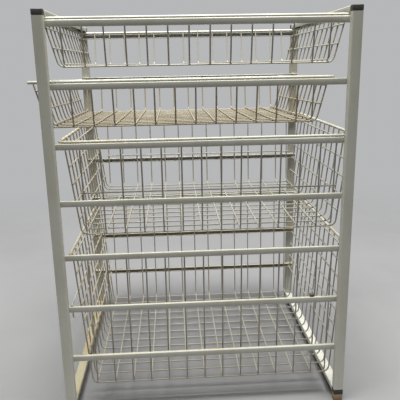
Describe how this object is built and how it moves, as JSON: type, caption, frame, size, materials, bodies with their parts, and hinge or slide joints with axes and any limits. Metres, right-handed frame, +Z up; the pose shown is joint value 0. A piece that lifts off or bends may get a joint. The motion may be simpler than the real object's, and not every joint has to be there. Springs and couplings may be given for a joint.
{
  "type": "wire basket drawer unit",
  "caption": "Free-standing open steel frame with runners on two sides, carrying pull-out wire baskets of three depths that hang by their rims.",
  "frame": {"origin": "centre of the bounding box's bottom face, on the floor", "axes": "+Z up; +X along the runners, the way the baskets pull out; +Y from the near gable to the far gable"},
  "size_m": [0.5624, 0.45, 0.73],
  "materials": {
    "cream_paint": "aged cream paint, satin",
    "cream_coating": "aged cream coating on wire, satin",
    "dark_plastic": "matte dark grey",
    "tan_plastic": "matte tan"
  },
  "bodies": {
    "frame": {"post_near_left": "cream_paint", "post_near_right": "cream_paint", "post_far_left": "cream_paint", "post_far_right": "cream_paint", "runner_near_1": "cream_paint", "runner_near_2": "cream_paint", "runner_near_3": "cream_paint", "runner_near_4": "cream_paint", "runner_near_5": "cream_paint", "runner_near_6": "cream_paint", "runner_near_7": "cream_paint", "runner_far_1": "cream_paint", "runner_far_2": "cream_paint", "runner_far_3": "cream_paint", "runner_far_4": "cream_paint", "runner_far_5": "cream_paint", "runner_far_6": "cream_paint", "runner_far_7": "cream_paint", "crossbar_top_left": "cream_paint", "crossbar_top_right": "cream_paint", "crossbar_bottom_left": "cream_paint", "crossbar_bottom_right": "cream_paint", "corner_top_near_left": "dark_plastic", "corner_top_near_right": "dark_plastic", "corner_top_far_left": "dark_plastic", "corner_top_far_right": "dark_plastic", "corner_bottom_near_left": "dark_plastic", "corner_bottom_near_right": "dark_plastic", "corner_bottom_far_left": "dark_plastic", "corner_bottom_far_right": "dark_plastic", "runner_clip": "dark_plastic", "foot_near_left": "tan_plastic", "foot_near_right": "tan_plastic", "foot_far_left": "tan_plastic", "foot_far_right": "tan_plastic", "stop_wire": "cream_coating"},
    "basket_1": {"basket_1": "cream_coating"},
    "basket_2": {"basket_2": "cream_coating"},
    "basket_3": {"basket_3": "cream_coating"},
    "basket_4": {"basket_4": "cream_coating"}
  },
  "joints": [
    {"name": "basket_1_slide", "type": "slide", "parent": "frame", "child": "basket_1", "axis": [1, 0, 0], "range_m": [-0.025, 0.385]},
    {"name": "basket_2_slide", "type": "slide", "parent": "frame", "child": "basket_2", "axis": [1, 0, 0], "range_m": [-0.01, 0.405]},
    {"name": "basket_3_slide", "type": "slide", "parent": "frame", "child": "basket_3", "axis": [1, 0, 0], "range_m": [-0.035, 0.365]},
    {"name": "basket_4_slide", "type": "slide", "parent": "frame", "child": "basket_4", "axis": [1, 0, 0], "range_m": [-0.008, 0.365]}
  ]
}
